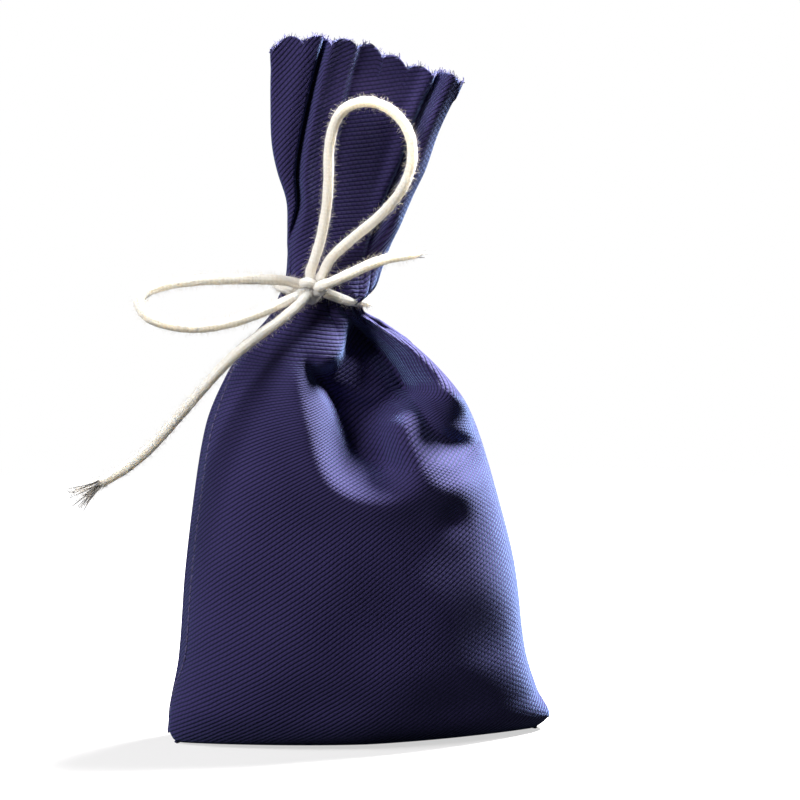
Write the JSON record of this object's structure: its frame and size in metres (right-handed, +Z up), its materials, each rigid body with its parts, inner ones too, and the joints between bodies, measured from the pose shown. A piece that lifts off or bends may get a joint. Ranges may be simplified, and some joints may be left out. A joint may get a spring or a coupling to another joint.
{
  "type": "lavender sachet",
  "caption": "Small upright navy twill pouch filled with dried lavender buds, gathered at the neck under a scalloped frill and tied with a cream cotton cord in a bow.",
  "frame": {"origin": "on the floor under the middle of the pouch and its frill, measured without the bow's cord", "axes": "+Z up from the foot to the scalloped edge, -Y the way the front with the bow faces, +X to the right seen from the front"},
  "size_m": [0.1267, 0.047, 0.1813],
  "materials": {
    "twill": "matte navy cotton twill",
    "thread": "matte sewing thread",
    "cotton_cord": "fuzzy cream cotton",
    "dried_lavender": "dry matte buds"
  },
  "bodies": {
    "pouch": {"front_panel": "twill", "back_panel": "twill", "left_seam_thread": "thread", "right_seam_thread": "thread", "bottom_seam_thread": "thread", "lavender_filling": "dried_lavender", "neck_wrap": "cotton_cord", "bow_knot": "cotton_cord"},
    "frill": {"front_frill": "twill", "back_frill": "twill", "left_frill_thread": "thread", "right_frill_thread": "thread"},
    "upright_loop": {"upright_loop": "cotton_cord"},
    "left_loop": {"left_loop": "cotton_cord"},
    "left_tail": {"left_tail": "cotton_cord", "left_tail_fray": "cotton_cord"},
    "right_tail": {"right_tail": "cotton_cord", "right_tail_fray": "cotton_cord"}
  },
  "joints": [
    {"name": "frill_tilt", "type": "hinge", "parent": "pouch", "child": "frill", "pos_m": [-0.0086, 0, 0.1156], "axis": [-0.9833, 0, 0.1822], "range_deg": [0, 20], "stiffness_Nm_per_rad": 0.01},
    {"name": "upright_loop_swing", "type": "hinge", "parent": "pouch", "child": "upright_loop", "pos_m": [-0.0131, -0.0102, 0.1179], "axis": [1, 0, 0], "range_deg": [0, 55]},
    {"name": "left_loop_lift", "type": "hinge", "parent": "pouch", "child": "left_loop", "pos_m": [-0.0131, -0.0102, 0.1179], "axis": [0, 1, 0], "range_deg": [0, 25]},
    {"name": "left_tail_swing", "type": "hinge", "parent": "pouch", "child": "left_tail", "pos_m": [-0.0131, -0.0102, 0.1179], "axis": [-1, 0, 0], "range_deg": [0, 40]},
    {"name": "right_tail_swing", "type": "hinge", "parent": "pouch", "child": "right_tail", "pos_m": [-0.0131, -0.0102, 0.1179], "axis": [0, 0, -1], "range_deg": [0, 25]}
  ]
}
